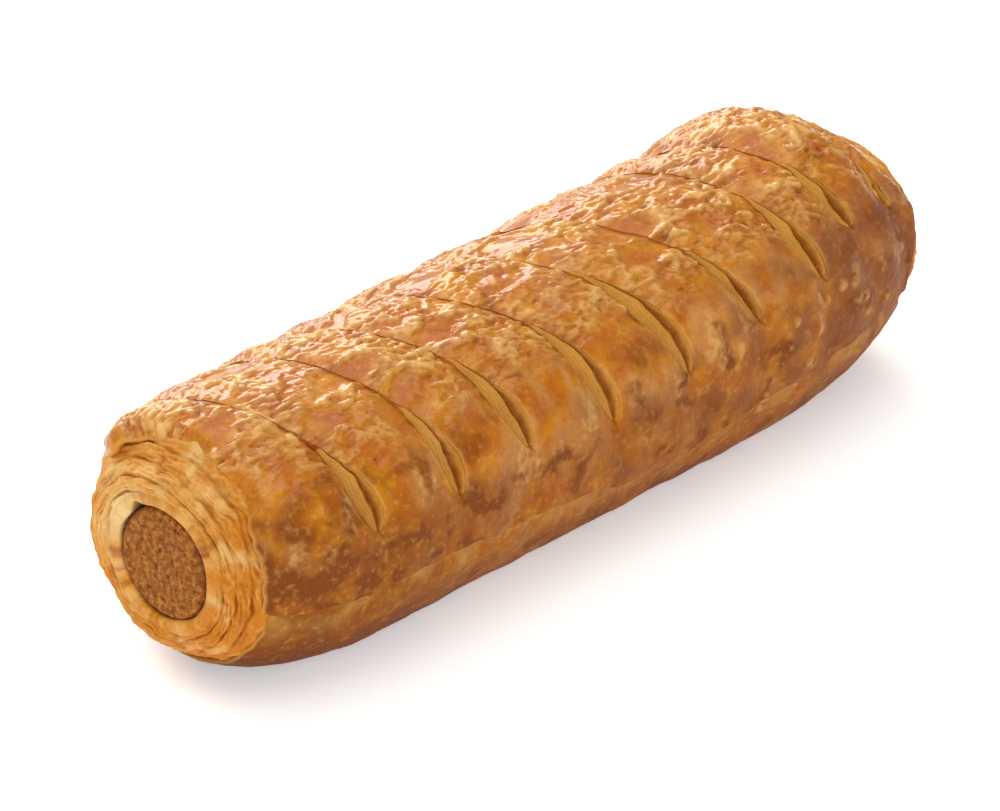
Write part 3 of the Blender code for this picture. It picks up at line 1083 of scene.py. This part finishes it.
        # painted shade in the slashes: under the lips, between the ribs and along the shut creases
        slash_shade = np.maximum(groove_shade, 0.7 * (1 - rib) * gaping)
        brown_and_shade = np.maximum(brown_and_shade * (1 - inside), inside * np.maximum(slash_shade, 0.6 * (1 - gaping)))

        # the pale layers dim between the ribs and under the lips, as painted shade
        pale = gaping * (0.55 + 0.45 * rib) * (1 - 0.9 * groove_shade) + 0.8 * lines["lip"]
        pale = np.maximum(pale, np.clip(seam, 0.0, 1.0) * (0.20 + 0.6 * soft) * (1 - bottom))
        pale = np.maximum(pale, under * mix(0.7, 0.2, smooth(-10, 10, x)))

        # painted shadow line at the foot of the seam's lapping edge; the bottom is darker in patches and near
        # the near end
        char_and_shade = 0.7 * bell(seam, 1.15, 0.10) * (seam > 0.9) + 0.25 * bottom * smooth(-0.3, 0.5, patch)
        char_and_shade = np.maximum(char_and_shade, 0.35 * smooth(126, 150, angle) * smooth(-52, -64, x))

        glaze = (0.12 + 0.88 * self.top + 0.3 * self.hollow) * smooth(108, 78, np.abs(angle))
        marks = {"amber": amber, "brown_and_shade": brown_and_shade + 0.35 * bottom, "dusk": dusk * (1 - inside)}
        marks.update({"light": light * (1 - inside), "pale": pale, "char_and_shade": char_and_shade})
        marks["glaze"] = glaze * (1 - inside) * (1 - under)
        return {key: np.clip(value, 0.0, 1.0) for key, value in marks.items()}


# ---------------- the ends


@dataclass
class RolledEnd:
    """The rounded end inside the crust's edge: wraps of dough round the filling, with their fine layers.
    Sizes are in millimetres; top_rise is how far up the rounding the sheet runs, as a share."""

    form: RollForm
    end: End
    seed: int
    top_rise: float = 0.57
    turns: int = 720
    rings: int = 110
    bore: float = 8.8
    lip: float = 8.45
    bore_depth: float = 7.0
    steam_gap: float = 1.1
    breadth: float = 13.5
    wrap_pitch: float = 3.1
    wrap_height: float = 0.50
    groove_depth: float = 0.25
    leaf_pitch: float = 0.74
    leaf_height: float = 0.15
    ruffle_size: float = 1.5
    ruffle_height: float = 0.42
    lump_height: float = 0.40
    crumb_height: float = 0.08
    near_bulge: float = 0.7

    def __post_init__(self) -> None:
        """Sets out what the methods share: the dough's noise, the way the end faces, the grid of angles round
        the filling by shares from the hole to the last ring, and the smooth form on that grid."""
        self.grain = Grain(self.seed)
        self.side = float(self.end.value)
        self.angle = (np.arange(self.turns) * 360.0 / self.turns - 180.0)[:, None]
        self.share = np.linspace(0.0, 1.0, self.rings)[None, :]
        self.rise = self.share * self.top_rise + 0.0 * self.angle
        self.base = self.form.dome(self.side, self.rise, self.angle, 0.0)

    def build(self) -> Sheet:
        """Lays the end on its grid: first the wall of the hole, then a soft lip, then the wraps.

        Returns:
            The end's sheet, with its marks.
        """
        lift, groove, leaves = self._layers()
        lift = mix(-0.35, lift, smooth(0.0, 0.10, self.share))
        points = self.form.dome(self.side, self.rise, self.angle, lift)
        wall = self._wall(points[:, :1])
        points = np.concatenate([wall, points], axis=1)
        marks = self._marks(groove, leaves, wall.shape[1])
        if self.side > 0:
            points, marks = points[::-1], {key: value[::-1] for key, value in marks.items()}
        return Sheet(points, marks)

    def _layers(self) -> tuple[Array, Array, Array]:
        """The relief of the layers. A wrap is a spiral: its number grows with the way out and with the turn,
        and it rises slowly and drops at its outer edge. Leaves are a sine of the way out, bent by noise, and
        ruffles are folds drawn out round the filling. The sheet sinks where it runs under the crust.

        Returns:
            The lift in millimetres, how deep between two wraps, and how high on a leaf or a ruffle.
        """
        grain, base, angle, share = self.grain, self.base, self.angle, self.share
        turn = np.radians(angle)
        out = share * self.breadth
        drift = grain.clouds(base, 7.0, 3)
        tight = 1.0 + 0.35 * smooth(10, 80, angle) * smooth(175, 120, angle)
        wrap = out / self.wrap_pitch * tight + 0.5 * turn / math.pi + 0.38 * drift
        wrap = wrap + 0.12 * np.sin(3 * turn + 1.0)
        within = wrap - np.floor(wrap)
        bold = 0.35 + 0.65 * smooth(-0.5, 0.5, grain.clouds(base + 30.0, 6.0, 2))
        step = within**0.8 * smooth(1.0, 0.86, within)
        groove = (bell(within, 1.0, 0.07) + bell(within, 0.0, 0.10)) * bold

        leaf = out / self.leaf_pitch + 1.5 * drift + 0.9 * np.sin(2 * turn + 0.6)
        leaves = np.sin(2 * math.pi * (leaf + 0.5 * grain.clouds(base + 9.0, 2.5, 2)))
        strong = smooth(-0.5, 0.5, grain.clouds(base + 40.0, 4.0, 2))
        strong = strong * (0.35 + 0.65 * smooth(20, 70, np.abs(angle)))
        track = np.broadcast_arrays(out + 1.2 * drift, 4.5 * np.cos(turn), 4.5 * np.sin(turn))
        ruffle = grain.folds(np.stack(track, axis=-1), self.ruffle_size, 3, 1.5) - 0.45

        lift = self.wrap_height * bold * step - self.groove_depth * groove
        lift = lift + self.leaf_height * leaves * (0.25 + 0.75 * strong) + self.ruffle_height * ruffle
        lift = lift + self.lump_height * grain.clouds(base + 50.0, 6.0, 2)
        lift = lift + self.crumb_height * grain.clouds(base + 70.0, 1.0, 2)
        if self.end is End.NEAR:
            ring = smooth(0.0, 0.3, share) * smooth(0.95, 0.5, share)
            lift = lift + self.near_bulge * bell(angle, -84, 40) * ring
        lift = lift - 0.55 - 0.6 * smooth(0.25, 0.7, share) - 1.0 * smooth(0.82, 1.0, share)
        lift = lift - 0.9 * smooth(88, 104, angle) * smooth(0.66, 0.82, share)
        return lift, groove, 0.7 * leaves * (0.3 + 0.7 * strong) + 1.6 * ruffle

    def _wall(self, rim: Array) -> Array:
        """The wall of the hole and the soft lip at its mouth: a profile carried round, whose reach from the
        middle and depth run from deep inside out to the first ring.

        Args:
            rim: points of the first ring.

        Returns:
            The wall's points, without the first ring itself.
        """
        centre = np.array([0.0, self.form.meat_y, self.form.meat_z])
        flat = rim - centre
        flat[..., 0] = 0.0
        radius = np.linalg.norm(flat, axis=-1, keepdims=True)
        spoke = flat / radius
        wobble = 0.22 * self.grain.clouds(rim + 3.0, 5.0, 2)[..., None]
        steam = self.steam_gap * bell(self.angle, -33, 8)[..., None] if self.end is End.NEAR else 0.0
        stations = np.linspace(0.0, 1.0, 15)[None, :-1, None]
        knots = (0.0, 0.2, 0.4, 0.6, 0.8, 1.0)
        inner = np.interp(stations, knots, (0.0, 0.0, 0.05, 0.12, 0.5, 1.0))
        depth = np.interp(stations, knots, (1.0, 0.45, 0.16, 0.02, 0.0, 0.0))
        bulge = np.interp(stations, knots, (0.0, 0.0, 0.0, 0.3, 0.9, 0.5)) * 0.3
        mouth = mix(self.bore, self.lip, smooth(0.3, 0.6, stations)) + wobble
        mouth = mouth + steam * smooth(0.0, 0.4, stations)
        wall = centre + spoke * mix(mouth, radius, inner)
        wall[..., 0] = rim[..., 0] - self.side * self.bore_depth * depth[..., 0] + self.side * bulge[..., 0]
        return wall

    def _marks(self, groove: Array, leaves: Array, wall: int) -> dict[str, Array]:
        """The end's colour marks: gold, cream, brown and char, each from 0 to 1, as sums of noise fields, of
        the relief, and of smooth steps of the angle and of the way out. The brown mark holds painted shade in
        the grooves between wraps and on the low sides of the leaves, and the char mark painted shade on the
        hole's wall and in some grooves, besides a dark bottom edge.

        Args:
            groove: how deep between two wraps.
            leaves: how high on a leaf or a ruffle.
            wall: how many rings the wall has.

        Returns:
            One grid for each mark.
        """
        grain, base, angle, share = self.grain, self.base, self.angle, self.share
        patch = grain.clouds(base + 5.0, 5.0, 3)
        spots = grain.clouds(base + 15.0, 2.6, 3)
        gold = 0.26 + 0.7 * patch - 0.45 * leaves + 0.2 * smooth(0.2, 0.5, share)
        gold = gold + 0.35 * smooth(50, 120, np.abs(angle))
        gold = gold + 0.3 * smooth(20, 70, angle) * smooth(170, 140, angle)
        cream = 0.85 * smooth(0.22, 0.08, share) * bell(angle, -58, 32) + 0.35 * smooth(0.2, 0.6, -patch)
        # painted shade in the grooves between wraps and on the low sides of leaves and ruffles, besides brown
        # spots
        brown_and_shade = 0.50 * groove + 0.45 * smooth(0.2, 0.8, spots) + 0.40 * smooth(0.2, 1.0, -leaves)
        # darker at the bottom edge, with painted shade in some grooves
        char_and_shade = 0.75 * smooth(3.2, 0.6, base[..., 2]) + 0.25 * groove * smooth(0.1, 0.5, patch)
        marks = {"gold": gold, "cream": cream + 0 * base[..., 0], "brown_and_shade": brown_and_shade, "char_and_shade": char_and_shade}
        padded = {}
        for key, values in marks.items():
            inner = np.repeat(values[:, :1], wall, axis=1)
            padded[key] = np.clip(np.concatenate([inner, values], axis=1), 0.0, 1.0)
        # painted shade on the wall of the hole, between the dough and the filling
        padded["char_and_shade"][:, :wall] = np.interp(np.arange(wall), (0, 3, 6), (0.8, 0.4, 0.0))[None, :]
        return padded

    def make(self, name: str, finish: bpy.types.Material) -> bpy.types.Object:
        """Makes the end's piece in its finish."""
        return self.build().piece(name, finish)


# ---------------- the filling


@dataclass
class Filling:
    """The rod of sausage meat, grainy on its two cut faces. oval and lobes are shares of the radius, and the
    other sizes are in millimetres."""

    form: RollForm
    radius: float = 8.5
    oval: float = 0.03
    lobes: float = 0.022
    recess: float = 0.3
    turns: int = 360
    rings: int = 60
    rod_rings: int = 10
    edge: float = 0.7
    grain_height: float = 0.20
    most_proud: float = 0.35

    def build(self) -> Sheet:
        """A profile from the middle of one face, out over its edge, along the rod and in again, carried round
        X. The faces are roughened by noise, which fades out at their edges.

        Returns:
            The rod's sheet, with its rim mark.
        """
        grain = Grain(29)
        turn = (np.arange(self.turns) * 2 * math.pi / self.turns)[:, None]
        disc = np.linspace(0.0, 1.0, self.rings)[None, :]
        half = self.form.length / 2 - self.recess
        edge = self.edge * smooth(0.86, 1.0, disc) ** 2
        rod = np.linspace(-1.0, 1.0, self.rod_rings)[None, 1:-1]
        x = np.concatenate([-half + edge, (half - 0.9) * rod, (half - edge)[:, ::-1]], axis=1) + 0.0 * turn
        reach = np.concatenate([disc, np.ones_like(rod), disc[:, ::-1]], axis=1)
        radius = self.radius * (1 + self.lobes * np.cos(3 * turn + 0.7)) * reach
        y = self.form.meat_y + radius * np.cos(turn)
        z = self.form.meat_z + radius * (1 + self.oval) * np.sin(turn)
        points = np.stack([x, y, z], axis=-1)
        rough = self.grain_height * (grain.clouds(points, 1.1, 3) + grain.clouds(points + 9.0, 4.0, 2))
        fade = smooth(1.0, 0.9, reach)
        points[..., 0] += np.sign(points[..., 0]) * np.minimum(rough, self.most_proud) * fade
        rim = 0.6 * smooth(0.9, 1.0, reach) + 0.0 * turn
        return Sheet(points, {"rim": rim}, poles=True)

    def make(self, finish: bpy.types.Material) -> bpy.types.Object:
        """Makes the filling's piece in its finish."""
        return self.build().piece("meat", finish)


# ---------------- the studio


@dataclass
class Studio:
    """White floor, soft light and the camera: angles in degrees, places in metres, the lens in millimetres,
    and for each lamp its place and its size in metres and its power in watts."""

    azimuth: float = -47.13
    elevation: float = 28.44
    distance: float = 1.164
    target: tuple[float, float, float] = (0.0, 0.0, 0.016)
    lens: float = 284.4
    shift: tuple[float, float] = (-0.0175, -0.0070)
    lamp_aim: tuple[float, float, float] = (0.0, 0.0, 0.02)
    lamp_colour: tuple[float, float, float] = (1.0, 0.97, 0.90)
    lamps: dict[str, tuple] = field(
        default_factory=lambda: {
            "overhead": ((-0.1, 0.1, 1.3), (1.5, 1.5), 10.0),
            "key": ((0.35, 1.0, 0.6), (1.1, 0.5), 11.0),
            "front": ((-0.8, -0.9, 0.7), (0.9, 0.9), 4.5),
        }
    )
    sky_strength: float = 0.34
    floor_half: float = 3.0
    floor_drop: float = 0.0001
    floor_white: Colour = (0.96, 0.96, 0.96, 1.0)
    floor_glow: Colour = (0.88, 0.95, 1.0, 1.0)
    floor_glow_strength: float = 0.40

    def camera(self) -> None:
        """Puts the camera at its angle, looking at the target."""
        turn, rise = math.radians(self.azimuth), math.radians(self.elevation)
        back = Vector((math.sin(turn) * math.cos(rise), -math.cos(turn) * math.cos(rise), math.sin(rise)))
        data = bpy.data.cameras.new("camera")
        data.lens = self.lens
        data.sensor_width = 36.0
        data.shift_x, data.shift_y = self.shift
        data.clip_end = 10.0
        camera = bpy.data.objects.new("camera", data)
        camera.location = Vector(self.target) + back * self.distance
        camera.rotation_euler = (-back).to_track_quat("-Z", "Y").to_euler()
        bpy.context.scene.collection.objects.link(camera)
        bpy.context.scene.camera = camera

    def light(self, name: str, place: tuple, size: tuple, power: float) -> None:
        """A soft rectangular light, turned to the middle of the roll.

        Args:
            name: the lamp's name.
            place: where it hangs.
            size: its two sides.
            power: in watts.
        """
        data = bpy.data.lights.new(name, "AREA")
        data.shape = "RECTANGLE"
        data.size, data.size_y = size
        data.energy = power
        data.color = self.lamp_colour
        lamp = bpy.data.objects.new(name, data)
        lamp.location = place
        lamp.rotation_euler = (Vector(self.lamp_aim) - Vector(place)).to_track_quat("-Z", "Y").to_euler()
        bpy.context.scene.collection.objects.link(lamp)

    def floor(self) -> None:
        """A plain white floor just under the roll. It glows a little, so that shadows stay faint."""
        mesh = bpy.data.meshes.new("floor")
        half, level = self.floor_half, -self.floor_drop
        corners = [(-half, -half, level), (half, -half, level), (half, half, level), (-half, half, level)]
        mesh.from_pydata(corners, [], [(0, 1, 2, 3)])
        floor = bpy.data.objects.new("floor", mesh)
        bpy.context.scene.collection.objects.link(floor)
        paint = Recipe("studio_floor")
        settings = {"Base Color": self.floor_white, "Roughness": 0.9, "Specular IOR Level": 0.1}
        settings.update({"Emission Color": self.floor_glow, "Emission Strength": self.floor_glow_strength})
        for name, value in settings.items():
            paint.shader.inputs[name].default_value = value
        mesh.materials.append(paint.material)

    def build(self) -> None:
        """Builds the camera, the world, the lamps and the floor."""
        self.camera()
        bpy.context.scene.view_settings.view_transform = "Standard"
        world = bpy.data.worlds.new("studio")
        world.use_nodes = True
        sky = world.node_tree.nodes["Background"]
        sky.inputs["Color"].default_value = (1.0, 1.0, 1.0, 1.0)
        sky.inputs["Strength"].default_value = self.sky_strength
        bpy.context.scene.world = world
        for name, (place, size, power) in self.lamps.items():
            self.light(name, place, size, power)
        self.floor()


# ---------------- all together


def settle(piece: bpy.types.Object, slot: str, *nodes: str) -> None:
    """Rides the piece on the root, hides the CAD nodes that it stands for, and reports it.

    Args:
        piece: the piece.
        slot: its material slot; not used.
        nodes: the CAD nodes it stands for.
    """
    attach(piece, "root")
    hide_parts(*nodes)
    LOG.info("%s: %d faces", piece.name, len(piece.data.polygons))


def main() -> None:
    """Builds the roll and its studio."""
    logging.basicConfig(level=logging.INFO, format="%(message)s")
    form = RollForm()
    crust = GlazedCrust().material()
    layers = BakedLayers().material()
    for piece in CrustSheet(form).make(crust):
        settle(piece, "baked_pastry", "pastry")
    settle(RolledEnd(form, End.NEAR, 41).make("near_end_layers", layers), "baked_pastry", "pastry")
    settle(RolledEnd(form, End.FAR, 43).make("far_end_layers", layers), "baked_pastry", "pastry")
    settle(Filling(form).make(SausageMeat().material()), "sausage_meat", "filling")
    Studio().build()


if __name__ == "__main__":
    main()
